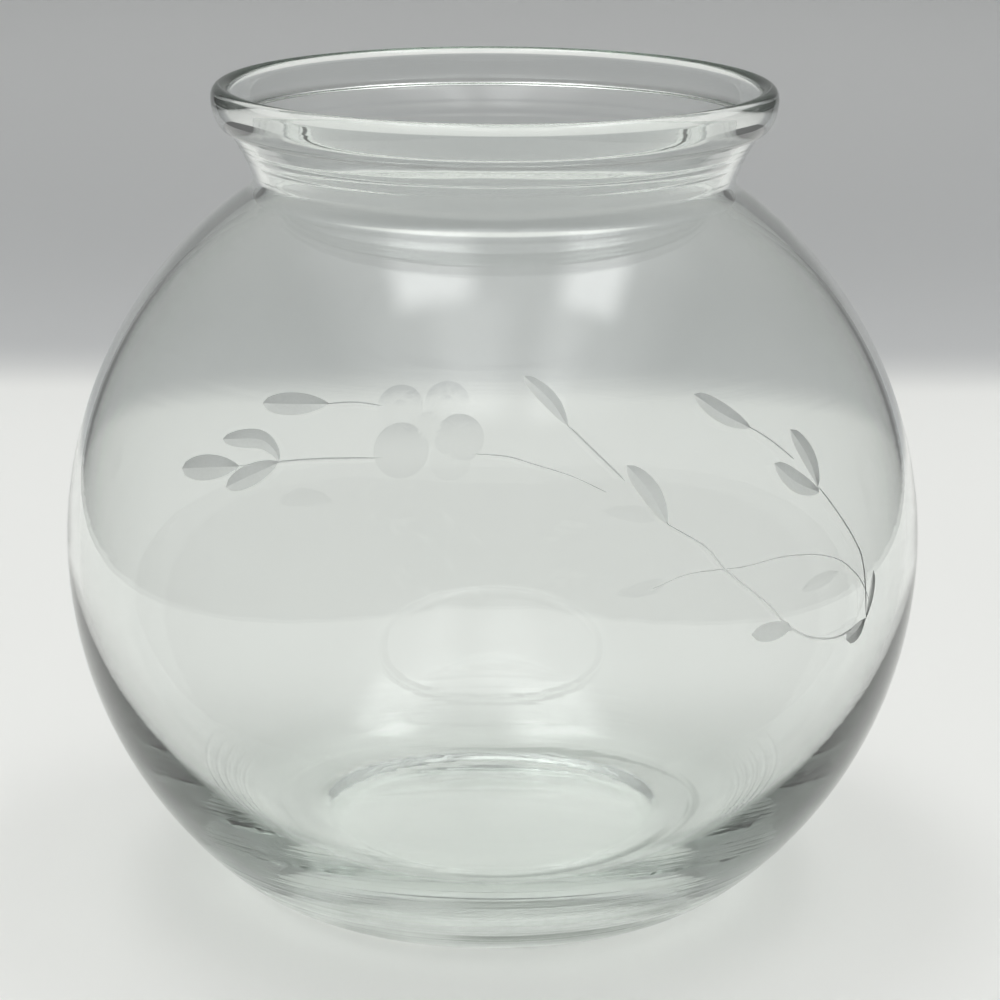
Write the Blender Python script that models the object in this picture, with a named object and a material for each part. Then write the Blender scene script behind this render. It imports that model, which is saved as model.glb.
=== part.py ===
"""Clear glass bubble bowl: one turned body of glass, from its resting ring to the bead round its mouth.

Sizes are in millimetres. The origin is the centre of the resting ring, +Z is the axis of turning,
and an outline point is (distance from the axis, height).
"""

import math

import bmesh
import bpy

MM = 0.001

# Ball of the body
BODY_RADIUS = 70.0
BODY_BAND = 0.6
SIDE_WALL = 1.9

# Foot: flat resting ring, rounded heel outside it, shallow hollow inside it
FOOT_RADIUS = 31.6
FOOT_RING_WIDTH = 3.1
HEEL_RADIUS = 22.0
PUSH_UP = 1.2

# Glass gathered at the bottom: the wall thickens towards the heel, and the floor is flat
FLOOR_HEIGHT = 3.4
FLOOR_CORNER_RADIUS = 4.0
HEEL_EXTRA_WALL = 6.2
HEEL_EXTRA_ANGLE = 60.0
HEEL_EXTRA_POWER = 1.7

# Neck, and the collar that flares up from it
NECK_RADIUS = 38.7
NECK_FILLET_RADIUS = 1.2
NECK_WALL = 2.3
COLLAR_LENGTH = 9.4
COLLAR_START_LEAN = 18.0
COLLAR_END_LEAN = 32.0

# Fire-polished bead on top of the collar
BEAD_OVERHANG = 2.5
BEAD_DROP = 5.0
BEAD_RISE = 1.9
BEAD_WIDTH = 3.2

# Fineness of the turned mesh
SEGMENTS = 64
BODY_STEP = 7.0
SMALL_STEP = 20.0
PUSH_UP_POINTS = 4
CLOSE_POINTS = 0.01
SHARP_ANGLE = 40.0
ANGLE_HALVINGS = 40

# Heights that follow from the sizes above
BALL_LOW_CENTRE = HEEL_RADIUS + math.sqrt((BODY_RADIUS - HEEL_RADIUS) ** 2 - FOOT_RADIUS**2)
BALL_HIGH_CENTRE = BALL_LOW_CENTRE + BODY_BAND
FLOOR_CORNER_HEIGHT = FLOOR_HEIGHT + FLOOR_CORNER_RADIUS
NECK_FILLET_DISTANCE = NECK_RADIUS + NECK_FILLET_RADIUS
NECK_FILLET_HEIGHT = BALL_HIGH_CENTRE + math.sqrt(
    (BODY_RADIUS + NECK_FILLET_RADIUS) ** 2 - NECK_FILLET_DISTANCE**2
)
NECK_ANGLE = math.degrees(math.atan2(NECK_FILLET_HEIGHT - BALL_HIGH_CENTRE, NECK_FILLET_DISTANCE))
COLLAR_CURVE_RADIUS = COLLAR_LENGTH / math.radians(COLLAR_END_LEAN - COLLAR_START_LEAN)


def oval(centre, across, up, start, end, step):
    """Points on an upright oval from one angle to another, in degrees, anticlockwise from straight out."""
    count = max(1, math.ceil(abs(end - start) / step))
    angles = [math.radians(start + (end - start) * i / count) for i in range(count + 1)]
    return [(centre[0] + across * math.cos(a), centre[1] + up * math.sin(a)) for a in angles]


def arc(centre, radius, start, end, step):
    return oval(centre, radius, radius, start, end, step)


def joined(*stretches):
    """One outline from stretches whose ends meet, without the doubled points."""
    outline = []
    for point in (point for stretch in stretches for point in stretch):
        if not outline or math.dist(point, outline[-1]) > CLOSE_POINTS:
            outline.append(point)
    return outline


def collar_centre():
    """Centre of the curve that the collar's outside and inside share."""
    start = math.radians(COLLAR_START_LEAN)
    reach = COLLAR_CURVE_RADIUS - NECK_FILLET_RADIUS
    return (NECK_FILLET_DISTANCE + reach * math.cos(start), NECK_FILLET_HEIGHT - reach * math.sin(start))


def under_foot():
    """Hollow under the base, out to the resting ring and along it."""
    ring_inside = FOOT_RADIUS - FOOT_RING_WIDTH
    shares = [i / PUSH_UP_POINTS for i in range(PUSH_UP_POINTS + 1)]
    hollow = [(ring_inside * share, PUSH_UP * (1.0 - share**2)) for share in shares]
    return hollow + [(FOOT_RADIUS, 0.0)]


def outside():
    """Heel, ball, neck and collar, from the resting ring up to the underside of the bead."""
    heel_end = math.degrees(math.atan2(HEEL_RADIUS - BALL_LOW_CENTRE, FOOT_RADIUS))
    heel = arc((FOOT_RADIUS, HEEL_RADIUS), HEEL_RADIUS, -90.0, heel_end, BODY_STEP)
    low_ball = arc((0.0, BALL_LOW_CENTRE), BODY_RADIUS, heel_end, 0.0, BODY_STEP)
    high_ball = arc((0.0, BALL_HIGH_CENTRE), BODY_RADIUS, 0.0, NECK_ANGLE, BODY_STEP)
    fillet = arc((NECK_FILLET_DISTANCE, NECK_FILLET_HEIGHT), NECK_FILLET_RADIUS,
                 180.0 + NECK_ANGLE, 180.0 - COLLAR_START_LEAN, SMALL_STEP)
    collar = arc(collar_centre(), COLLAR_CURVE_RADIUS,
                 180.0 - COLLAR_START_LEAN, 180.0 - COLLAR_END_LEAN, BODY_STEP)
    return joined(heel, low_ball, high_ball, fillet, collar)


def bead(collar_top):
    """Bead from the top of the collar's outside, over the mouth's edge, to its inner side."""
    level = collar_top[1] + BEAD_DROP
    widest = collar_top[0] + BEAD_OVERHANG
    half_width = BEAD_WIDTH / 2
    underside = oval((collar_top[0], level), BEAD_OVERHANG, BEAD_DROP, -90.0, 0.0, SMALL_STEP)
    top = oval((widest - half_width, level), half_width, BEAD_RISE, 0.0, 180.0, SMALL_STEP)
    return joined(underside, top)


def wall_at(angle):
    """Thickness of the side wall at an angle below the ball's middle."""
    return SIDE_WALL + HEEL_EXTRA_WALL * (angle / HEEL_EXTRA_ANGLE) ** HEEL_EXTRA_POWER


def inside():
    """Inside of the collar and neck, the cavity and its floor, down to the axis."""
    neck_radius = NECK_FILLET_RADIUS + NECK_WALL
    collar = arc(collar_centre(), COLLAR_CURVE_RADIUS + NECK_WALL,
                 180.0 - COLLAR_END_LEAN, 180.0 - COLLAR_START_LEAN, BODY_STEP)
    neck = arc((NECK_FILLET_DISTANCE, NECK_FILLET_HEIGHT), neck_radius,
               180.0 - COLLAR_START_LEAN, 180.0 + NECK_ANGLE, SMALL_STEP)
    high_steps = math.ceil(NECK_ANGLE / BODY_STEP)
    high = []
    for i in range(1, high_steps + 1):
        share = 1.0 - i / high_steps
        radius = BODY_RADIUS - SIDE_WALL - (NECK_WALL - SIDE_WALL) * share**2
        angle = math.radians(NECK_ANGLE * share)
        high.append((radius * math.cos(angle), BALL_HIGH_CENTRE + radius * math.sin(angle)))
    return joined(collar, neck, high, low_cavity())


def floor_corner_angle():
    """Angle below the ball's middle at which the wall runs into the floor's rounded corner."""
    above = 0.0
    below = 90.0
    for _ in range(ANGLE_HALVINGS):
        middle = (above + below) / 2
        radius = BODY_RADIUS - wall_at(middle) - FLOOR_CORNER_RADIUS
        if BALL_LOW_CENTRE - radius * math.sin(math.radians(middle)) > FLOOR_CORNER_HEIGHT:
            above = middle
        else:
            below = middle
    return below


def low_cavity():
    """Lower half of the cavity: the ball less its thickening wall, until the floor's corner rounds it off."""
    corner_angle = floor_corner_angle()
    steps = math.ceil(corner_angle / BODY_STEP)
    side = []
    for i in range(steps + 1):
        angle = corner_angle * i / steps
        radius = BODY_RADIUS - wall_at(angle)
        slope = math.radians(angle)
        side.append((radius * math.cos(slope), BALL_LOW_CENTRE - radius * math.sin(slope)))
    corner_distance = side[-1][0] - FLOOR_CORNER_RADIUS * math.cos(math.radians(corner_angle))
    corner = arc((corner_distance, FLOOR_CORNER_HEIGHT), FLOOR_CORNER_RADIUS,
                 -corner_angle, -90.0, SMALL_STEP)
    return joined(side, corner, [(0.0, FLOOR_HEIGHT)])


def turned(name, outline, material):
    """One closed solid: the outline, which starts and ends on the axis, turned once round it."""
    shell = bmesh.new()
    points = [shell.verts.new((distance * MM, 0.0, height * MM)) for distance, height in outline]
    edges = [shell.edges.new(pair) for pair in zip(points, points[1:])]
    bmesh.ops.spin(shell, geom=points + edges, cent=(0.0, 0.0, 0.0), axis=(0.0, 0.0, 1.0),
                   angle=math.tau, steps=SEGMENTS, use_merge=True)
    bmesh.ops.remove_doubles(shell, verts=shell.verts, dist=CLOSE_POINTS * MM)
    bmesh.ops.recalc_face_normals(shell, faces=shell.faces)
    mesh = bpy.data.meshes.new(name)
    shell.to_mesh(mesh)
    shell.free()
    mesh.shade_smooth()
    mesh.set_sharp_from_angle(angle=math.radians(SHARP_ANGLE))
    mesh.materials.append(material)
    solid = bpy.data.objects.new(name, mesh)
    bpy.context.scene.collection.objects.link(solid)
    return solid


def clear_glass():
    material = bpy.data.materials.new("clear_glass")
    material.use_nodes = True
    shader = material.node_tree.nodes["Principled BSDF"]
    shader.inputs["Base Color"].default_value = (0.96, 0.98, 0.97, 1.0)
    shader.inputs["Metallic"].default_value = 0.0
    shader.inputs["Roughness"].default_value = 0.01
    shader.inputs["IOR"].default_value = 1.52
    shader.inputs["Transmission Weight"].default_value = 1.0
    return material


def glass_bowl():
    """The whole bowl: it is one piece of glass, so foot, ball, neck, collar and bead run into each other."""
    outer = outside()
    return turned("glass_bowl", joined(under_foot(), outer, bead(outer[-1]), inside()), clear_glass())


def main():
    for old in list(bpy.data.objects):
        bpy.data.objects.remove(old, do_unlink=True)
    glass_bowl()


main()
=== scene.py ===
"""Looks of a clear glass bowl vase with wheel-cut sprigs, standing on a pale table.

Sizes are in millimetres until they go into a mesh, a material or the camera. The origin is the centre of
the resting ring, +Z is the axis of turning, and the photograph looks along +Y.
"""

import math

import bmesh
import bpy
from mathutils import Matrix, Vector
from mathutils.geometry import delaunay_2d_cdt


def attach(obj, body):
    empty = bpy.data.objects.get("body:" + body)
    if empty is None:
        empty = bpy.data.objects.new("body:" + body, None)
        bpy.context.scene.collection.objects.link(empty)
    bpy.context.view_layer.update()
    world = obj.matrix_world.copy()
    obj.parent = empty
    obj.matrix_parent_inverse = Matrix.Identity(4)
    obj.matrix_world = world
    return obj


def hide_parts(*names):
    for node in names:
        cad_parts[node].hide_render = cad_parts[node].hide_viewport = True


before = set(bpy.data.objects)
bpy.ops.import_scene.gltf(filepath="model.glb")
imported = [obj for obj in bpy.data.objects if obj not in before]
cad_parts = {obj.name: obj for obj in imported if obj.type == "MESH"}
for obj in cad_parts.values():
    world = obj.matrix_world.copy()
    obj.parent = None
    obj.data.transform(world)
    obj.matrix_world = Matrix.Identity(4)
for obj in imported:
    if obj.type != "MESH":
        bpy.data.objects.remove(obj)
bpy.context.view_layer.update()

MM = 0.001

# Ball of the body
BODY_RADIUS = 70.0
BODY_BAND = 0.6
SIDE_WALL = 1.9

# Foot: flat resting ring, rounded heel outside it, shallow hollow inside it
FOOT_RADIUS = 31.6
FOOT_RING_WIDTH = 3.1
HEEL_RADIUS = 22.0
PUSH_UP = 1.2

# Glass gathered at the bottom: the wall thickens towards the heel, and the floor is flat
FLOOR_HEIGHT = 3.4
FLOOR_CORNER_RADIUS = 4.0
HEEL_EXTRA_WALL = 6.2
HEEL_EXTRA_ANGLE = 60.0
HEEL_EXTRA_POWER = 1.7

# Neck, collar and the fire-polished bead on top of it
NECK_RADIUS = 38.7
NECK_FILLET_RADIUS = 2.5
NECK_WALL = 2.3
COLLAR_LENGTH = 8.4
COLLAR_START_LEAN = 18.0
COLLAR_END_LEAN = 37.5
BEAD_OVERHANG = 2.5
BEAD_DROP = 5.0
BEAD_RISE = 1.9
BEAD_WIDTH = 3.2

# Faint tool ridges round the outside, as places going up along the collar and along the low part of the ball
COLLAR_RIDGES = (3.3, 5.2)
LOW_RIDGES = (0.6, 1.7, 2.5, 4.1, 5.0, 7.2, 9.8)
RIDGE_HEIGHT = 0.05
RIDGE_WIDTH = 0.3
RIDGE_SPACING = 0.3

# Fineness of the turned surface, in degrees along the outline and steps round the axis
BODY_STEP = 1.2
SMALL_STEP = 7.0
SEGMENTS = 256
PUSH_UP_POINTS = 16
FLOOR_POINTS = 12
CLOSE_POINTS = 0.002
ANGLE_HALVINGS = 40

# Band of the ball that the sprigs are cut into, as angles above its middle
BAND_LOW = -34.0
BAND_HIGH = 46.0

# Seam of the band, in steps round from the front, and spacing of its plain skin, whose rows are staggered
SEAM_STEPS = 56
SKIN_SPACING = 2.6
ROW_SHIFT = 0.5

# Camera: it stands this far from the ball's centre, which it sees at this place in the photograph
CAMERA_DISTANCE = 490.0
CAMERA_ELEVATION = 16.67
CAMERA_ROLL = 0.3
CAMERA_LENS = 106.13
CAMERA_NEAR = 10.0
CAMERA_FAR = 20000.0
SENSOR_WIDTH = 36.0
PHOTO_SIDE = 1000.0
BALL_CENTRE_PIXEL = (492.8, 531.4)

# Heights that follow from the sizes above
BALL_LOW_CENTRE = HEEL_RADIUS + math.sqrt((BODY_RADIUS - HEEL_RADIUS) ** 2 - FOOT_RADIUS**2)
BALL_HIGH_CENTRE = BALL_LOW_CENTRE + BODY_BAND
FLOOR_CORNER_HEIGHT = FLOOR_HEIGHT + FLOOR_CORNER_RADIUS
NECK_FILLET_DISTANCE = NECK_RADIUS + NECK_FILLET_RADIUS
NECK_FILLET_HEIGHT = BALL_HIGH_CENTRE + math.sqrt(
    (BODY_RADIUS + NECK_FILLET_RADIUS) ** 2 - NECK_FILLET_DISTANCE**2
)
NECK_ANGLE = math.degrees(math.atan2(NECK_FILLET_HEIGHT - BALL_HIGH_CENTRE, NECK_FILLET_DISTANCE))
COLLAR_CURVE_RADIUS = COLLAR_LENGTH / math.radians(COLLAR_END_LEAN - COLLAR_START_LEAN)


# Outline of the turned glass, as (distance from the axis, height)
def oval(centre, across, up, start, end, step):
    """Points on an upright oval from one angle to another, in degrees, anticlockwise from straight out."""
    count = max(1, math.ceil(abs(end - start) / step))
    angles = [math.radians(start + (end - start) * i / count) for i in range(count + 1)]
    return [(centre[0] + across * math.cos(a), centre[1] + up * math.sin(a)) for a in angles]


def arc(centre, radius, start, end, step):
    return oval(centre, radius, radius, start, end, step)


def ridged_arc(centre, radius, start, end, ridges, height):
    """Arc with ridges at places along it, each as high as given, away from the arc's centre."""
    length = radius * math.radians(abs(end - start))
    count = math.ceil(length / RIDGE_SPACING)
    outline = []
    for i in range(count + 1):
        along = length * i / count
        ridge = sum(math.exp(-((along - place) / RIDGE_WIDTH) ** 2) for place in ridges)
        reach = radius + height * ridge
        angle = math.radians(start + (end - start) * i / count)
        outline.append((centre[0] + reach * math.cos(angle), centre[1] + reach * math.sin(angle)))
    return outline


def joined(*stretches):
    """One outline from stretches whose ends meet, without the doubled points."""
    outline = []
    for point in (point for stretch in stretches for point in stretch):
        if not outline or math.dist(point, outline[-1]) > CLOSE_POINTS:
            outline.append(point)
    return outline


def below_the_band():
    """Hollow under the base, resting ring, heel and the ball up to the lower edge of the cut band."""
    ring_inside = FOOT_RADIUS - FOOT_RING_WIDTH
    shares = [i / PUSH_UP_POINTS for i in range(PUSH_UP_POINTS + 1)]
    hollow = [(ring_inside * share, PUSH_UP * (1.0 - share**2)) for share in shares]
    heel_end = math.degrees(math.atan2(HEEL_RADIUS - BALL_LOW_CENTRE, FOOT_RADIUS))
    heel = arc((FOOT_RADIUS, HEEL_RADIUS), HEEL_RADIUS, -90.0, heel_end, BODY_STEP)
    ball = ridged_arc((0.0, BALL_LOW_CENTRE), BODY_RADIUS, heel_end, BAND_LOW, LOW_RIDGES, RIDGE_HEIGHT)
    return joined(hollow, heel, ball)


def collar_centre():
    """Centre of the curve that the collar's outside and inside share."""
    start = math.radians(COLLAR_START_LEAN)
    reach = COLLAR_CURVE_RADIUS - NECK_FILLET_RADIUS
    return (NECK_FILLET_DISTANCE + reach * math.cos(start), NECK_FILLET_HEIGHT - reach * math.sin(start))


def above_the_band():
    """Ball from the upper edge of the cut band, neck, collar, bead, and all of the inside to the axis."""
    ball = arc((0.0, BALL_HIGH_CENTRE), BODY_RADIUS, BAND_HIGH, NECK_ANGLE, BODY_STEP)
    fillet = arc((NECK_FILLET_DISTANCE, NECK_FILLET_HEIGHT), NECK_FILLET_RADIUS,
                 180.0 + NECK_ANGLE, 180.0 - COLLAR_START_LEAN, SMALL_STEP)
    collar = ridged_arc(collar_centre(), COLLAR_CURVE_RADIUS,
                        180.0 - COLLAR_START_LEAN, 180.0 - COLLAR_END_LEAN, COLLAR_RIDGES, -RIDGE_HEIGHT)
    return joined(ball, fillet, collar, bead(collar[-1]), inside())


def bead(collar_top):
    """Bead from the top of the collar's outside, over the mouth's edge, to its inner side."""
    level = collar_top[1] + BEAD_DROP
    widest = collar_top[0] + BEAD_OVERHANG
    half_width = BEAD_WIDTH / 2
    underside = oval((collar_top[0], level), BEAD_OVERHANG, BEAD_DROP, -90.0, 0.0, SMALL_STEP)
    top = oval((widest - half_width, level), half_width, BEAD_RISE, 0.0, 180.0, SMALL_STEP)
    return joined(underside, top)


def inside():
    """Inside of the collar and neck, the cavity and its floor, down to the axis."""
    collar = arc(collar_centre(), COLLAR_CURVE_RADIUS + NECK_WALL,
                 180.0 - COLLAR_END_LEAN, 180.0 - COLLAR_START_LEAN, BODY_STEP)
    neck = arc((NECK_FILLET_DISTANCE, NECK_FILLET_HEIGHT), NECK_FILLET_RADIUS + NECK_WALL,
               180.0 - COLLAR_START_LEAN, 180.0 + NECK_ANGLE, SMALL_STEP)
    high_steps = math.ceil(NECK_ANGLE / BODY_STEP)
    high = []
    for i in range(1, high_steps + 1):
        share = 1.0 - i / high_steps
        radius = BODY_RADIUS - SIDE_WALL - (NECK_WALL - SIDE_WALL) * share**2
        angle = math.radians(NECK_ANGLE * share)
        high.append((radius * math.cos(angle), BALL_HIGH_CENTRE + radius * math.sin(angle)))
    return joined(collar, neck, high, low_cavity())


def wall_at(angle):
    """Thickness of the side wall at an angle below the ball's middle."""
    return SIDE_WALL + HEEL_EXTRA_WALL * (angle / HEEL_EXTRA_ANGLE) ** HEEL_EXTRA_POWER


def floor_corner_angle():
    """Angle below the ball's middle at which the wall runs into the floor's rounded corner."""
    above = 0.0
    below = 90.0
    for _ in range(ANGLE_HALVINGS):
        middle = (above + below) / 2
        radius = BODY_RADIUS - wall_at(middle) - FLOOR_CORNER_RADIUS
        if BALL_LOW_CENTRE - radius * math.sin(math.radians(middle)) > FLOOR_CORNER_HEIGHT:
            above = middle
        else:
            below = middle
    return below


def low_cavity():
    """Lower half of the cavity: the ball less its thickening wall, down to the floor's rounded corner."""
    corner_angle = floor_corner_angle()
    steps = math.ceil(corner_angle / BODY_STEP)
    side = []
    for i in range(steps + 1):
        angle = corner_angle * i / steps
        radius = BODY_RADIUS - wall_at(angle)
        slope = math.radians(angle)
        side.append((radius * math.cos(slope), BALL_LOW_CENTRE - radius * math.sin(slope)))
    corner_distance = side[-1][0] - FLOOR_CORNER_RADIUS * math.cos(math.radians(corner_angle))
    corner = arc((corner_distance, FLOOR_CORNER_HEIGHT), FLOOR_CORNER_RADIUS,
                 -corner_angle, -90.0, SMALL_STEP)
    floor_radius = corner[-1][0]
    floor = [(floor_radius * (1.0 - i / FLOOR_POINTS), FLOOR_HEIGHT) for i in range(FLOOR_POINTS + 1)]
    return joined(side, corner, floor)


# Camera, and the place on the ball that a pixel of the photograph shows
def camera_pose():
    """Where the camera stands and how it is turned: the ball's centre lies off the middle of the picture."""
    elevation = math.radians(CAMERA_ELEVATION)
    centre = Vector((0.0, 0.0, BALL_HIGH_CENTRE))
    place = centre + CAMERA_DISTANCE * Vector((0.0, -math.cos(elevation), math.sin(elevation)))
    facing = (centre - place).to_track_quat("-Z", "Y").to_matrix()
    offset = pixel_ray(BALL_CENTRE_PIXEL).rotation_difference(Vector((0.0, 0.0, -1.0))).to_matrix()
    roll = Matrix.Rotation(math.radians(CAMERA_ROLL), 3, "Z")
    return place, facing @ offset @ roll


def pixel_ray(pixel):
    """Direction from the camera through a pixel, in the camera's own axes."""
    focal = CAMERA_LENS / SENSOR_WIDTH * PHOTO_SIDE
    across = (pixel[0] - PHOTO_SIDE / 2) / focal
    up = (PHOTO_SIDE / 2 - pixel[1]) / focal
    return Vector((across, up, -1.0)).normalized()


def on_ball(pixel, far_side):
    """Angle round the axis and angle above the middle, in radians, of the place that a pixel shows."""
    place, turn = camera_pose()
    ray = turn @ pixel_ray(pixel)
    start = place - Vector((0.0, 0.0, BALL_HIGH_CENTRE))
    along = start.dot(ray)
    depth = math.sqrt(max(0.0, along**2 - start.length_squared + BODY_RADIUS**2))
    hit = start + ray * (-along + (depth if far_side else -depth))
    return math.atan2(hit.x, -hit.y), math.asin(hit.z / hit.length)


def add_camera():
    place, turn = camera_pose()
    lens = bpy.data.cameras.new("camera")
    lens.lens = CAMERA_LENS
    lens.sensor_width = SENSOR_WIDTH
    lens.clip_start = CAMERA_NEAR * MM
    lens.clip_end = CAMERA_FAR * MM
    camera = bpy.data.objects.new("camera", lens)
    camera.rotation_mode = "QUATERNION"
    camera.location = place * MM
    camera.rotation_quaternion = turn.to_quaternion()
    bpy.context.scene.collection.objects.link(camera)
    bpy.context.scene.camera = camera


# Nodes that every tree here is made of
def feed(tree, socket, value):
    """Links another socket to this one, or sets it to the value."""
    if isinstance(value, bpy.types.NodeSocket):
        tree.links.new(value, socket)
    else:
        socket.default_value = value


def add_node(tree, kind, settings=None, **values):
    """A node with its settings, and with numbers or links on its named inputs."""
    node = tree.nodes.new(kind)
    for name, setting in (settings or {}).items():
        setattr(node, name, setting)
    for name, value in values.items():
        feed(tree, node.inputs[name.replace("_", " ")], value)
    return node


def math_node(tree, operation, *values):
    node = add_node(tree, "ShaderNodeMath", {"operation": operation})
    for socket, value in zip(node.inputs, values):
        feed(tree, socket, value)
    return node.outputs[0]


def soft_step(tree, value, start, end, first=0.0, last=1.0):
    """Number that goes softly from the first to the last as the value goes from start to end."""
    return add_node(tree, "ShaderNodeMapRange", {"interpolation_type": "SMOOTHSTEP"}, Value=value,
                    From_Min=start, From_Max=end, To_Min=first, To_Max=last).outputs["Result"]


def noise(tree, place, scale, detail):
    return add_node(tree, "ShaderNodeTexNoise", Vector=place, Scale=scale, Detail=detail).outputs[0]


def blend_colours(tree, share, first, second):
    """Colour that goes from the first to the second as the share goes from 0 to 1."""
    mix = add_node(tree, "ShaderNodeMix", {"data_type": "RGBA"})
    feed(tree, next(socket for socket in mix.inputs if socket.type == "VALUE"), share)
    colour_inputs = [socket for socket in mix.inputs if socket.type == "RGBA"]
    for socket, colour in zip(colour_inputs, (first, second)):
        feed(tree, socket, (*colour, 1.0) if isinstance(colour, tuple) else colour)
    return next(socket for socket in mix.outputs if socket.type == "RGBA")


# Glass: clouds all over, grain in the cuts, ripples mostly round the heel, and painted shade in dark streaks
# along the ripples low on the heel
GLASS_IOR = 1.52
CLEAR_TINT = (0.975, 0.985, 0.978)
CLOUD_TINT = (0.955, 0.972, 0.962)
CLOUD_SCALE = 26.0
CLOUD_DETAIL = 2.0
CUT_TINT = (0.85, 0.865, 0.858)
CUT_ROUGHNESS = 0.46
GRAIN_TINT = (0.73, 0.745, 0.74)
GRAIN_SCALE = 2600.0
GRAIN_DETAIL = 3.0
GRAIN_ROUGHNESS = 0.16
GRAIN_HEIGHT = 0.02
RIPPLE_SCALE = 16.0
RIPPLE_DETAIL = 2.0
RIPPLE_FLATNESS = 60.0
RIPPLE_HEIGHT = 0.003
HEEL_RIPPLE_HEIGHT = 0.06
HEEL_RIPPLE_TOP = 18.0
# Painted shade: dark streaks low on the outside of the heel, where the ripples run high, stand in for the
# contact shadow and dark surroundings seen through the heel
HEEL_PAINTED_SHADE = (0.44, 0.47, 0.445)
HEEL_PAINTED_SHADE_LOW = 0.5
HEEL_PAINTED_SHADE_HIGH = 2.0
HEEL_PAINTED_SHADE_REACH = 3.0
SHADE_STREAK_START = 0.50
SHADE_STREAK_END = 0.60

# Light that the glass takes away along its path, which greys mostly the thick bottom
DEEP_TINT = (0.75, 0.79, 0.76)
DEEP_DENSITY = 19.0


def heel_shade_share(tree, axes):
    """Where the painted shade goes: 1 low on the outside of the heel, 0 above it and under the foot."""
    across = math_node(tree, "MULTIPLY", axes["X"], axes["X"])
    along = math_node(tree, "MULTIPLY", axes["Y"], axes["Y"])
    distance = math_node(tree, "SQRT", math_node(tree, "ADD", across, along))
    outside = soft_step(tree, distance, FOOT_RADIUS * MM, (FOOT_RADIUS + HEEL_PAINTED_SHADE_REACH) * MM)
    low = soft_step(tree, axes["Z"], HEEL_PAINTED_SHADE_HIGH * MM, HEEL_PAINTED_SHADE_LOW * MM)
    return math_node(tree, "MULTIPLY", outside, low)


def glass_tint(tree, place, axes, cut, grain, ripple):
    """Colour of the glass: clear and faintly clouded, with painted shade in dark streaks low on the heel,
    grey where it is cut.
    """
    clear = blend_colours(tree, noise(tree, place, CLOUD_SCALE, CLOUD_DETAIL), CLEAR_TINT, CLOUD_TINT)
    # Painted shade: dark streaks where the ripples run high, low on the heel
    shade_streak = soft_step(tree, ripple, SHADE_STREAK_START, SHADE_STREAK_END)
    shade_streak = math_node(tree, "MULTIPLY", shade_streak, heel_shade_share(tree, axes))
    clear_with_painted_shade = blend_colours(tree, shade_streak, clear, HEEL_PAINTED_SHADE)
    ground = blend_colours(tree, grain, CUT_TINT, GRAIN_TINT)
    return blend_colours(tree, cut, clear_with_painted_shade, ground)


def glass_relief(tree, height, cut, grain, ripple):
    """Normal that ripples bend, most of all on the heel, and grain in the cuts."""
    swell = soft_step(tree, height, 0.0, HEEL_RIPPLE_TOP * MM, HEEL_RIPPLE_HEIGHT, RIPPLE_HEIGHT)
    rippled = math_node(tree, "MULTIPLY", ripple, swell)
    rough = math_node(tree, "MULTIPLY", math_node(tree, "MULTIPLY", grain, GRAIN_HEIGHT), cut)
    relief = math_node(tree, "ADD", rippled, rough)
    return add_node(tree, "ShaderNodeBump", Height=relief, Distance=MM).outputs["Normal"]


def bowl_material():
    """Clear glass. The attribute called cut says how far the wheel has ground a face matt, from 0 to 1."""
    material = bpy.data.materials.new("clear_glass")
    material.use_nodes = True
    tree = material.node_tree
    place = add_node(tree, "ShaderNodeTexCoord").outputs["Object"]
    axes = add_node(tree, "ShaderNodeSeparateXYZ", Vector=place).outputs
    cut = add_node(tree, "ShaderNodeAttribute", {"attribute_name": "cut"}).outputs["Fac"]
    grain = noise(tree, place, GRAIN_SCALE, GRAIN_DETAIL)
    flattened = add_node(tree, "ShaderNodeMapping", Vector=place, Scale=(1.0, 1.0, RIPPLE_FLATNESS))
    ripple = noise(tree, flattened.outputs[0], RIPPLE_SCALE, RIPPLE_DETAIL)
    coarse = math_node(tree, "MULTIPLY_ADD", grain, GRAIN_ROUGHNESS, CUT_ROUGHNESS - GRAIN_ROUGHNESS / 2)
    deep = add_node(tree, "ShaderNodeVolumeAbsorption", Color=(*DEEP_TINT, 1.0), Density=DEEP_DENSITY)
    shader = tree.nodes["Principled BSDF"].inputs
    feed(tree, shader["IOR"], GLASS_IOR)
    feed(tree, shader["Transmission Weight"], 1.0)
    feed(tree, shader["Base Color"], glass_tint(tree, place, axes, cut, grain, ripple))
    feed(tree, shader["Roughness"], math_node(tree, "MULTIPLY", coarse, cut))
    feed(tree, shader["Normal"], glass_relief(tree, axes["Z"], cut, grain, ripple))
    feed(tree, tree.nodes["Material Output"].inputs["Volume"], deep.outputs["Volume"])
    return material


# Turned surface, made by Geometry Nodes from an outline
TURNING_INPUTS = {
    "Outline": "Geometry",
    "Segments": "Int",
    "Merge Distance": "Float",
    "Glass": "Material",
}
# Added to a point's number before it is divided into rows, so that rounding can't change its row
HALF_STEP = 0.5


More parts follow.
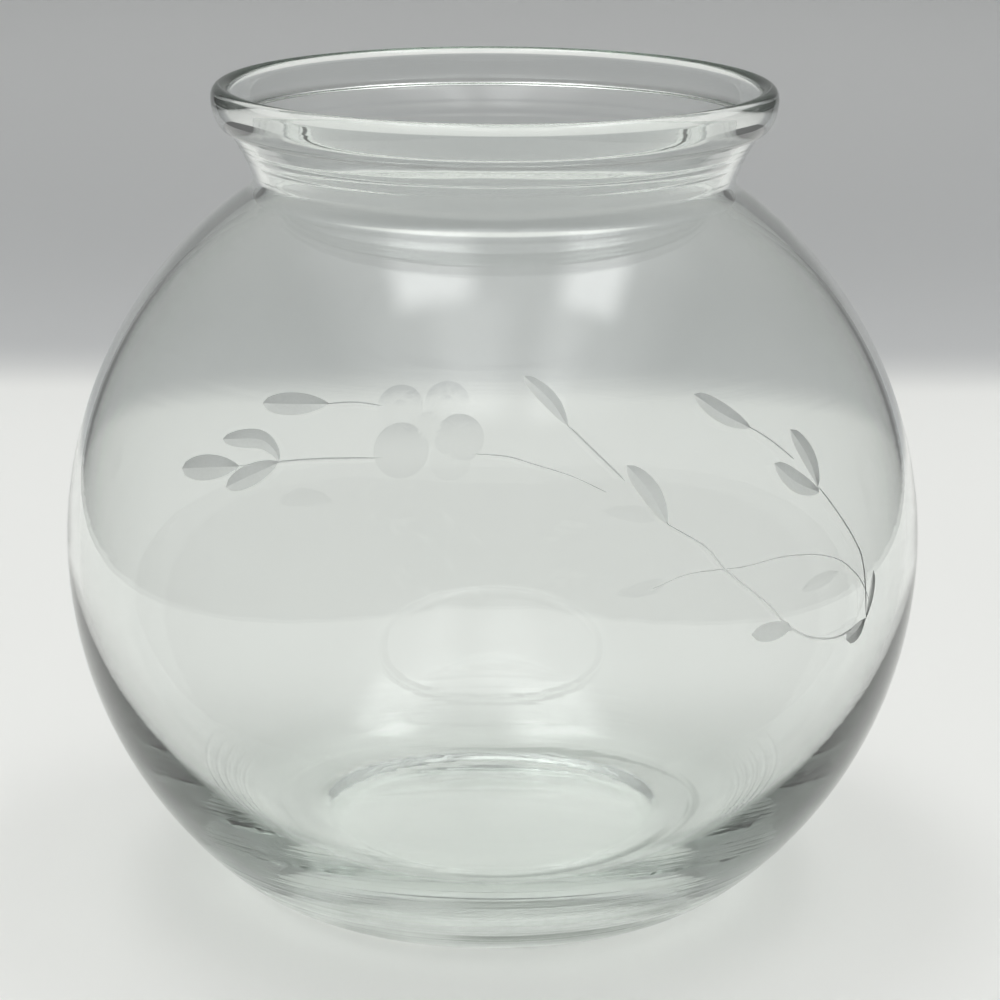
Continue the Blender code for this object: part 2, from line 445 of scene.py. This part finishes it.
def turning_tree():
    """Turns the points of its Outline, in their order, round the axis as one surface."""
    tree = bpy.data.node_groups.new("turned_glass", "GeometryNodeTree")
    for name, kind in TURNING_INPUTS.items():
        tree.interface.new_socket(name, in_out="INPUT", socket_type=f"NodeSocket{kind}")
    tree.interface.new_socket("Surface", in_out="OUTPUT", socket_type="NodeSocketGeometry")
    given = add_node(tree, "NodeGroupInput").outputs
    size = add_node(tree, "GeometryNodeAttributeDomainSize", Geometry=given["Outline"])
    row = math_node(tree, "ADD", given["Segments"], 1.0)
    grid = add_node(tree, "GeometryNodeMeshGrid", Vertices_X=size.outputs["Point Count"], Vertices_Y=row)
    index = add_node(tree, "GeometryNodeInputIndex").outputs[0]
    shifted = math_node(tree, "ADD", index, HALF_STEP)
    level = math_node(tree, "FLOOR", math_node(tree, "DIVIDE", shifted, row))
    step = math_node(tree, "SUBTRACT", index, math_node(tree, "MULTIPLY", level, row))
    share = math_node(tree, "DIVIDE", step, given["Segments"])
    angle = math_node(tree, "MULTIPLY", share, math.tau)
    position = add_node(tree, "GeometryNodeInputPosition").outputs[0]
    sample = add_node(tree, "GeometryNodeSampleIndex", {"data_type": "FLOAT_VECTOR"},
                      Geometry=given["Outline"], Value=position, Index=level)
    point = add_node(tree, "ShaderNodeSeparateXYZ", Vector=sample.outputs["Value"]).outputs
    across = math_node(tree, "MULTIPLY", point["X"], math_node(tree, "COSINE", angle))
    along = math_node(tree, "MULTIPLY", point["X"], math_node(tree, "SINE", angle))
    place = add_node(tree, "ShaderNodeCombineXYZ", X=across, Y=along, Z=point["Z"])
    moved = add_node(tree, "GeometryNodeSetPosition",
                     Geometry=grid.outputs["Mesh"], Position=place.outputs[0])
    merged = add_node(tree, "GeometryNodeMergeByDistance",
                      Geometry=moved.outputs[0], Distance=given["Merge Distance"])
    smooth = add_node(tree, "GeometryNodeSetShadeSmooth", Geometry=merged.outputs[0])
    realized = add_node(tree, "GeometryNodeRealizeInstances", Geometry=smooth.outputs[0])
    painted = add_node(tree, "GeometryNodeSetMaterial",
                       Geometry=realized.outputs[0], Material=given["Glass"])
    add_node(tree, "NodeGroupOutput", Surface=painted.outputs[0])
    return tree


def socket_id(tree, name):
    return next(item.identifier for item in tree.interface.items_tree
                if item.name == name and item.in_out == "INPUT")


def turned(tree, name, outline, material):
    """Plain mesh of an outline turned round the axis."""
    points = bpy.data.meshes.new(name)
    points.from_pydata([(distance * MM, 0.0, height * MM) for distance, height in outline], [], [])
    carrier = bpy.data.objects.new(name, points)
    bpy.context.scene.collection.objects.link(carrier)
    modifier = carrier.modifiers.new("turned", "NODES")
    modifier.node_group = tree
    modifier[socket_id(tree, "Segments")] = SEGMENTS
    modifier[socket_id(tree, "Merge Distance")] = CLOSE_POINTS * MM
    modifier[socket_id(tree, "Glass")] = material
    evaluated = carrier.evaluated_get(bpy.context.evaluated_depsgraph_get())
    mesh = bpy.data.meshes.new_from_object(evaluated)
    mesh.materials.clear()
    mesh.materials.append(material)
    for polygon in mesh.polygons:
        polygon.material_index = 0
    bpy.data.objects.remove(carrier, do_unlink=True)
    bpy.data.meshes.remove(points)
    return mesh


# Sizes of the cuts: a leaf's depth is this share of its half width, a stem's of its whole width
CUT_STEP = 0.9
LEAF_SLOPE = 0.10
STEM_WIDTH = 0.36
TAIL_WIDTH = 0.3
STEM_SLOPE = 0.14

# How matt the wheel left each kind of cut
LEAF_MATT = 1.0
FAR_MATT = 0.5
STEM_MATT = 0.7
PETAL_MATT = 0.44

# Forms along a cut: place where a leaf is widest, and shares of the width for stems and thinning tails
LEAF_FULLEST = 0.56
LEAF_SWELL = 0.8
STEM_START = 0.25
STEM_SWELL = 6.0
TAIL_LOSS = 0.75

# Rings that a petal's mesh keeps, as shares of its radius, and the fewest sides of a ring
PETAL_RINGS = (1.0, 0.66, 0.33)
PETAL_SIDES = 6

# Paths through given points: points from one to the next before they are spaced evenly, and fewest steps
CURVE_POINTS = 24
SHORTEST_PATH = 4

# Strip round a cut without plain skin points, distance that makes two places one, and smallest divisor
CUT_MARGIN = 0.7
SHEET_MERGE = 1e-4
TINY = 1e-6

# How far past the band's edges, and how far from the ball's round, a point still counts as its skin
SKIN_EDGE = 0.01
SKIN_DEPTH = 0.6

# Leaves in front: width in millimetres, and the photograph's pixels along the middle, from stem to tip
LEAVES = [
    (3.9, [(239, 465), (210, 466), (181, 467)]),
    (2.9, [(279, 461), (274, 449), (258, 438), (222, 438)]),
    (3.4, [(279, 461), (250, 474), (225, 486)]),
    (3.5, [(329, 403), (296, 403), (262, 402)]),
    (2.5, [(568, 425), (550, 399), (524, 375)]),
    (3.2, [(668, 523), (650, 490), (627, 464)]),
    (3.3, [(751, 427), (722, 412), (694, 393)]),
    (3.3, [(819, 485), (809, 456), (791, 428)]),
    (3.4, [(820, 491), (796, 480), (775, 462)]),
    (3.0, [(793, 624), (774, 629), (752, 633)]),
    (2.9, [(865, 616), (858, 628), (847, 638)]),
    (1.6, [(866, 616), (872, 590), (874, 568)]),
]
# Petals: radius in millimetres, the pixel of the middle, and how much of a full flat cut it is
PETALS = [
    (4.1, (401, 449), 1.0),
    (3.6, (459, 437), 1.0),
    (3.4, (400, 406), 0.35),
    (3.2, (447, 401), 0.25),
    (3.0, (450, 459), 0.5),
    (2.6, (429, 428), 0.5),
]
STEMS = [
    [(239, 465), (279, 461), (321, 458), (376, 457)],
    [(329, 403), (355, 402), (380, 405)],
    [(568, 425), (596, 452), (625, 480)],
    [(668, 523), (706, 546), (724, 567), (745, 584), (770, 604),
     (783, 619), (798, 630), (816, 636), (839, 634), (865, 616)],
    [(751, 427), (770, 439), (794, 458)],
    [(819, 486), (839, 513), (855, 539), (863, 561), (866, 616)],
]
TAILS = [
    [(476, 453), (508, 456), (529, 462), (571, 475), (606, 491)],
    [(869, 597), (860, 577), (844, 561), (829, 555), (809, 553),
     (779, 556), (745, 565), (691, 572), (653, 587)],
]
# Leaves on the far side, which show through the bowl
FAR_LEAVES = [
    (3.4, [(331, 499), (303, 494), (275, 498)]),
    (3.2, [(603, 508), (633, 510), (665, 516)]),
    (3.2, [(618, 594), (646, 590), (671, 581)]),
    (2.8, [(850, 572), (832, 580), (812, 591)]),
]


# Cuts are drawn on the flat sheet that the ball unrolls to without changing any angle
def flat(angle_round, angle_up):
    """Place on the sheet, in millimetres at the ball's middle."""
    return Vector((BODY_RADIUS * angle_round, BODY_RADIUS * math.asinh(math.tan(angle_up))))


def sheet_scale(place):
    """Millimetres on the sheet for a millimetre on the glass."""
    return math.cosh(place.y / BODY_RADIUS)


def on_skin(place, depth):
    """Point of the ball's outside for a place on the sheet, sunk by a depth along the ball's radius."""
    angle_round = place.x / BODY_RADIUS
    angle_up = math.atan(math.sinh(place.y / BODY_RADIUS))
    low = math.sin(math.radians(BAND_LOW))
    high = math.sin(math.radians(BAND_HIGH))
    lift = BODY_BAND * (math.sin(angle_up) - low) / (high - low)
    radius = BODY_RADIUS - depth
    return Vector((
        radius * math.cos(angle_up) * math.sin(angle_round),
        -radius * math.cos(angle_up) * math.cos(angle_round),
        BALL_LOW_CENTRE + lift + radius * math.sin(angle_up),
    ))


def on_sheet(pixel, far_side=False):
    """Place on the sheet that a pixel shows. The sheet starts at the seam and goes on round the far side."""
    angle_round, angle_up = on_ball(pixel, far_side)
    if angle_round < -math.tau * SEAM_STEPS / SEGMENTS:
        angle_round += math.tau
    return flat(angle_round, angle_up)


def curve_point(before, start, end, after, t):
    """Point between start and end of the curve that runs through all four."""
    return 0.5 * (2 * start + (end - before) * t
                  + (2 * before - 5 * start + 4 * end - after) * t**2
                  + (3 * start - before - 3 * end + after) * t**3)


def smooth_path(points):
    """Points at an even step along a curve through the given points."""
    if len(points) == 2:
        points = [points[0], (points[0] + points[1]) / 2, points[1]]
    ends = [2 * points[0] - points[1]] + points + [2 * points[-1] - points[-2]]
    fine = [curve_point(*four, i / CURVE_POINTS)
            for four in zip(ends, ends[1:], ends[2:], ends[3:]) for i in range(CURVE_POINTS)]
    fine.append(points[-1])
    lengths = [0.0]
    for a, b in zip(fine, fine[1:]):
        lengths.append(lengths[-1] + (b - a).length)
    count = max(SHORTEST_PATH, round(lengths[-1] / CUT_STEP))
    path = []
    k = 0
    for i in range(count + 1):
        wanted = lengths[-1] * i / count
        while k < len(fine) - 2 and lengths[k + 1] < wanted:
            k += 1
        share = (wanted - lengths[k]) / max(lengths[k + 1] - lengths[k], TINY)
        path.append(fine[k].lerp(fine[k + 1], min(1.0, share)))
    return path


class Groove:
    """One pass of a sharp wheel: a middle line on the sheet with a half width at each point, and a depth."""

    def __init__(self, points, width, depth, form, matt):
        self.line = smooth_path(points)
        self.depth = depth
        self.matt = matt
        last = len(self.line) - 1
        scale = sheet_scale(self.line[last // 2])
        self.half = [width / 2 * scale * form(i / last) for i in range(last + 1)]
        reach = max(self.half)
        self.low = Vector((min(p.x for p in self.line) - reach, min(p.y for p in self.line) - reach))
        self.high = Vector((max(p.x for p in self.line) + reach, max(p.y for p in self.line) + reach))

    def side(self, sign):
        """Edge of the groove on one side of its middle line."""
        edge = []
        last = len(self.line) - 1
        for i, point in enumerate(self.line):
            along = (self.line[min(i + 1, last)] - self.line[max(i - 1, 0)]).normalized()
            edge.append(point + sign * self.half[i] * Vector((-along.y, along.x)))
        return edge[1:-1] if self.half[0] < CLOSE_POINTS else edge

    def runs(self):
        """Lines that the mesh has to keep, each with whether it is closed."""
        return [(self.line, False), (self.side(1.0), False), (self.side(-1.0), False)]

    def share_at(self, place, margin=0.0):
        """1 on the middle line, 0 at the edge and below 0 outside the groove."""
        if not (self.low.x - margin < place.x < self.high.x + margin
                and self.low.y - margin < place.y < self.high.y + margin):
            return -1.0
        best = -1.0
        for a, b, half_a, half_b in zip(self.line, self.line[1:], self.half, self.half[1:]):
            run = b - a
            t = max(0.0, min(1.0, (place - a).dot(run) / run.length_squared))
            half = half_a + (half_b - half_a) * t + margin
            best = max(best, 1.0 - (place - a - run * t).length / max(half, TINY))
        return best

    def depth_at(self, place):
        return self.depth * self.share_at(place)


class Petal:
    """Round cut: the wheel's side takes a share of a flat cap off the ball."""

    def __init__(self, centre, radius, share):
        self.centre = centre
        self.matt = PETAL_MATT * share
        self.depth = share * radius**2 / (2.0 * BODY_RADIUS)
        self.reach = radius * sheet_scale(centre)

    def ring(self, share):
        count = max(PETAL_SIDES, round(math.tau * self.reach * share / CUT_STEP))
        turns = [math.tau * i / count for i in range(count)]
        return [self.centre + self.reach * share * Vector((math.cos(a), math.sin(a))) for a in turns]

    def runs(self):
        """Lines that the mesh has to keep, each with whether it is closed."""
        return [(self.ring(share), True) for share in PETAL_RINGS]

    def share_at(self, place, margin=0.0):
        """1 in the middle, 0 at the edge and below 0 outside the petal."""
        return 1.0 - (place - self.centre).length / (self.reach + margin)

    def depth_at(self, place):
        away = 1.0 - self.share_at(place)
        return self.depth * (1.0 - away**2)


def leaf_form(t):
    """Half width along a leaf, from stem to tip, as a share of the widest: fullest past the middle."""
    narrowing = LEAF_SWELL / LEAF_FULLEST - LEAF_SWELL
    return (t / LEAF_FULLEST) ** LEAF_SWELL * ((1.0 - t) / (1.0 - LEAF_FULLEST)) ** narrowing


def stem_form(t):
    return min(1.0, STEM_START + STEM_SWELL * min(t, 1.0 - t))


def tail_form(t):
    """Stem that runs out thin at its far end."""
    return min(1.0, STEM_START + STEM_SWELL * t) * (1.0 - TAIL_LOSS * t)


def all_cuts():
    cuts = []
    for far_side, leaves, matt in ((False, LEAVES, LEAF_MATT), (True, FAR_LEAVES, FAR_MATT)):
        for width, line in leaves:
            points = [on_sheet(pixel, far_side) for pixel in line]
            cuts.append(Groove(points, width, width / 2 * LEAF_SLOPE * matt, leaf_form, matt))
    for stems, width, form in ((STEMS, STEM_WIDTH, stem_form), (TAILS, TAIL_WIDTH, tail_form)):
        for line in stems:
            points = [on_sheet(pixel) for pixel in line]
            cuts.append(Groove(points, width, width * STEM_SLOPE, form, STEM_MATT))
    for radius, pixel, share in PETALS:
        cuts.append(Petal(on_sheet(pixel), radius, share))
    return cuts


def add_run(places, edges, points, closed):
    """Adds a line of points to the places, and its stretches to the edges."""
    first = len(places)
    places.extend(points)
    last = len(places) - 1
    edges.extend((i, i + 1) for i in range(first, last))
    if closed:
        edges.append((last, first))


def band_drawing(cuts):
    """Places and edges of the sheet that the band's mesh has to keep: its border, its skin and its cuts."""
    width = math.tau * BODY_RADIUS
    left = -width * SEAM_STEPS / SEGMENTS
    low = flat(0.0, math.radians(BAND_LOW)).y
    high = flat(0.0, math.radians(BAND_HIGH)).y
    rows = round((high - low) / SKIN_SPACING)
    columns = round(width / SKIN_SPACING)
    bottom = [Vector((left + width * i / SEGMENTS, low)) for i in range(SEGMENTS + 1)]
    top = [Vector((left + width * i / SEGMENTS, high)) for i in range(SEGMENTS + 1)]
    right_side = [Vector((left + width, low + (high - low) * i / rows)) for i in range(1, rows)]
    left_side = [Vector((left, low + (high - low) * i / rows)) for i in range(rows - 1, 0, -1)]
    places = []
    edges = []
    add_run(places, edges, bottom + right_side + top[::-1] + left_side, True)
    for row in range(1, rows):
        for column in range(1, columns):
            across = column + ROW_SHIFT * (row % 2 - 0.5)
            place = Vector((left + width * across / columns, low + (high - low) * row / rows))
            if all(cut.share_at(place, CUT_MARGIN) < 0.0 for cut in cuts):
                places.append(place)
    for cut in cuts:
        for line, closed in cut.runs():
            add_run(places, edges, line, closed)
    return places, edges


def deepest(cuts, place):
    """Depth and mattness of the deepest cut at a place, both 0 on the plain skin."""
    return max([(0.0, 0.0)] + [(cut.depth_at(place), cut.matt) for cut in cuts])


def cut_band(glass):
    """Mesh of the band: the ball's skin with every cut sunk into it, and how matt each face is."""
    cuts = all_cuts()
    places, edges = band_drawing(cuts)
    found, _, faces, _, _, _ = delaunay_2d_cdt(places, edges, [], 0, SHEET_MERGE, False)
    points = [on_skin(place, deepest(cuts, place)[0]) * MM for place in found]
    mesh = bpy.data.meshes.new("cut_band")
    mesh.from_pydata(points, [], faces)
    mesh.materials.append(glass)
    cut_of = mesh.attributes.new("cut", "FLOAT", "FACE")
    for polygon in mesh.polygons:
        middle = sum((found[v] for v in polygon.vertices), Vector((0.0, 0.0))) / len(polygon.vertices)
        depth, matt = deepest(cuts, middle)
        cut_of.data[polygon.index].value = matt if depth > 0.0 else 0.0
    return mesh


def skin_normal(place):
    """True normal of the ball at a point of its outside, or None for a point that isn't there."""
    height = place.z / MM
    low = BALL_LOW_CENTRE + BODY_RADIUS * math.sin(math.radians(BAND_LOW))
    high = BALL_HIGH_CENTRE + BODY_RADIUS * math.sin(math.radians(BAND_HIGH))
    if not low - SKIN_EDGE < height < high + SKIN_EDGE:
        return None
    middle = BALL_LOW_CENTRE + BODY_BAND * (height - low) / (high - low)
    normal = Vector((place.x / MM, place.y / MM, height - middle))
    if abs(normal.length - BODY_RADIUS) > SKIN_DEPTH:
        return None
    return normal.normalized()


def set_normals(mesh):
    """Ball's true normals on its skin, flat facets in the cuts, the mesh's own smooth normals elsewhere."""
    mesh.shade_smooth()
    skin = [skin_normal(vertex.co) for vertex in mesh.vertices]
    own = [vertex.normal.copy() for vertex in mesh.vertices]
    cut_of = mesh.attributes["cut"].data
    normals = []
    for polygon in mesh.polygons:
        for index in polygon.vertices:
            if cut_of[polygon.index].value > 0.0:
                normals.append(polygon.normal.copy())
            else:
                normals.append(skin[index] or own[index])
    mesh.normals_split_custom_set(normals)


def glass_bowl():
    """The whole bowl in one closed mesh: cut band, foot and heel below it, all the rest above it."""
    glass = bowl_material()
    tree = turning_tree()
    whole = bmesh.new()
    for mesh in (cut_band(glass),
                 turned(tree, "below_the_band", below_the_band(), glass),
                 turned(tree, "above_the_band", above_the_band(), glass)):
        whole.from_mesh(mesh)
        bpy.data.meshes.remove(mesh)
    bmesh.ops.remove_doubles(whole, verts=whole.verts, dist=CLOSE_POINTS * MM)
    bmesh.ops.recalc_face_normals(whole, faces=whole.faces)
    mesh = bpy.data.meshes.new("bowl_glass")
    whole.to_mesh(mesh)
    whole.free()
    mesh.materials.append(glass)
    set_normals(mesh)
    bowl = bpy.data.objects.new("bowl_glass", mesh)
    bpy.context.scene.collection.objects.link(bowl)
    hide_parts("glass_bowl")
    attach(bowl, "root")


# Table and backdrop, just under the resting ring: pale table, with painted light making it paler far back,
# and a grey wall with painted light making it paler going up
FLOOR_GAP = 0.05
STAGE_HALF_WIDTH = 290.0
STAGE_FRONT = -1400.0
SWEEP_START = 337.0
SWEEP_RADIUS = 150.0
SWEEP_STEP = 4.0
WALL_TOP = 420.0
TABLE_COLOUR = (0.84, 0.842, 0.822)
# Painted light: the table is painted paler far back, where the wall keeps light from behind off it
FAR_TABLE_PAINTED_LIGHT = (0.87, 0.872, 0.852)
TABLE_PAINTED_LIGHT_START = 120.0
TABLE_PAINTED_LIGHT_END = 340.0
FADE_START = 330.0
FADE_END = 375.0
WALL_COLOUR = (0.57, 0.578, 0.582)
# Painted light: the wall is painted paler going up, where the bend tilts away from the light above
HIGH_WALL_PAINTED_LIGHT = (0.78, 0.788, 0.792)
WALL_PAINTED_LIGHT_START = 14.0
WALL_PAINTED_LIGHT_END = 91.0
BACKDROP_ROUGHNESS = 0.7
BACKDROP_SPECULAR = 0.1


def backdrop_material():
    """Pale table, made paler far back by painted light, that fades into a grey wall made paler going up by
    painted light.
    """
    material = bpy.data.materials.new("backdrop")
    material.use_nodes = True
    tree = material.node_tree
    place = add_node(tree, "ShaderNodeTexCoord").outputs["Object"]
    axes = add_node(tree, "ShaderNodeSeparateXYZ", Vector=place).outputs
    # Painted light: the table grows paler far back
    far_painted_light = soft_step(tree, axes["Y"], TABLE_PAINTED_LIGHT_START * MM, TABLE_PAINTED_LIGHT_END * MM)
    table_with_painted_light = blend_colours(tree, far_painted_light, TABLE_COLOUR, FAR_TABLE_PAINTED_LIGHT)
    # Painted light: the wall grows paler going up
    high = soft_step(tree, axes["Z"], WALL_PAINTED_LIGHT_START * MM, WALL_PAINTED_LIGHT_END * MM)
    wall_with_painted_light = blend_colours(tree, high, WALL_COLOUR, HIGH_WALL_PAINTED_LIGHT)
    fade = soft_step(tree, axes["Y"], FADE_START * MM, FADE_END * MM)
    shader = tree.nodes["Principled BSDF"].inputs
    feed(tree, shader["Roughness"], BACKDROP_ROUGHNESS)
    feed(tree, shader["Specular IOR Level"], BACKDROP_SPECULAR)
    feed(tree, shader["Base Color"], blend_colours(tree, fade, table_with_painted_light, wall_with_painted_light))
    return material


def add_stage():
    """Table and backdrop in one sheet that bends up behind the bowl."""
    bend = arc((SWEEP_START, SWEEP_RADIUS - FLOOR_GAP), SWEEP_RADIUS, -90.0, 0.0, SWEEP_STEP)
    outline = [(STAGE_FRONT, -FLOOR_GAP)] + bend + [(SWEEP_START + SWEEP_RADIUS, WALL_TOP)]
    mesh = bpy.data.meshes.new("backdrop")
    points = [(x * MM, y * MM, z * MM) for y, z in outline for x in (-STAGE_HALF_WIDTH, STAGE_HALF_WIDTH)]
    faces = [(2 * i, 2 * i + 1, 2 * i + 3, 2 * i + 2) for i in range(len(outline) - 1)]
    mesh.from_pydata(points, [], faces)
    mesh.shade_smooth()
    mesh.materials.append(backdrop_material())
    sheet = bpy.data.objects.new("backdrop", mesh)
    bpy.context.scene.collection.objects.link(sheet)


# Soft lights, as seen on a level plane 1 above the bowl: middle, half sizes, fade of the edge, strength
SOFT_LIGHTS = [
    ((-0.23, 0.12), (0.15, 0.28), 0.07, 2.9),
    ((0.38, 0.12), (0.12, 0.28), 0.07, 2.9),
    ((0.03, -0.05), (0.62, 0.75), 0.30, 0.95),
    ((-0.10, -0.55), (0.15, 0.40), 0.10, 0.8),
    ((0.30, -0.55), (0.08, 0.40), 0.10, 0.8),
]
LIGHT_COLOUR = (0.993, 1.0, 0.994, 1.0)

# Room without the lights, by direction: grey at the horizon, brighter overhead, darker towards the camera
SKY_HORIZON = 0.15
SKY_TOP = 0.63
SKY_RISE_START = 0.2
SKY_RISE_END = 1.0
FRONT_SHADE = 0.55
FRONT_START = 0.2
FRONT_END = -0.7
LOWEST_LEVEL = 0.001


def window(tree, value, middle, half, edge):
    """1 within a half size of the middle, falling off softly to 0 past it."""
    away = math_node(tree, "ABSOLUTE", math_node(tree, "SUBTRACT", value, middle))
    return soft_step(tree, away, half + edge, half - edge)


def room_light():
    """Room round the table: grey at the horizon, brighter above, darker towards the camera."""
    world = bpy.data.worlds.new("room")
    world.use_nodes = True
    tree = world.node_tree
    direction = add_node(tree, "ShaderNodeTexCoord").outputs["Generated"]
    axes = add_node(tree, "ShaderNodeSeparateXYZ", Vector=direction).outputs
    level = soft_step(tree, axes["Z"], SKY_RISE_START, SKY_RISE_END, SKY_HORIZON, SKY_TOP)
    front = soft_step(tree, axes["Y"], FRONT_START, FRONT_END, 1.0, 1.0 - FRONT_SHADE)
    glow = math_node(tree, "MULTIPLY", level, front)
    height = math_node(tree, "MAXIMUM", axes["Z"], LOWEST_LEVEL)
    across = math_node(tree, "DIVIDE", axes["X"], height)
    along = math_node(tree, "DIVIDE", axes["Y"], height)
    for middle, half, edge, strength in SOFT_LIGHTS:
        lamp = math_node(tree, "MULTIPLY", window(tree, across, middle[0], half[0], edge),
                         window(tree, along, middle[1], half[1], edge))
        glow = math_node(tree, "ADD", glow, math_node(tree, "MULTIPLY", lamp, strength))
    background = tree.nodes["Background"].inputs
    feed(tree, background["Color"], LIGHT_COLOUR)
    feed(tree, background["Strength"], glow)
    bpy.context.scene.world = world


# How often light may be reflected and refracted before it is given up
LIGHT_BOUNCES = 60


def light_paths():
    """Lets light run on inside the rim and the thick heel until it gets out, and lets it reach the table."""
    cycles = bpy.context.scene.cycles
    cycles.max_bounces = LIGHT_BOUNCES
    cycles.transmission_bounces = LIGHT_BOUNCES
    cycles.glossy_bounces = LIGHT_BOUNCES
    cycles.blur_glossy = 0.0


add_camera()
add_stage()
room_light()
light_paths()
glass_bowl()
bpy.context.scene.view_settings.view_transform = "Standard"
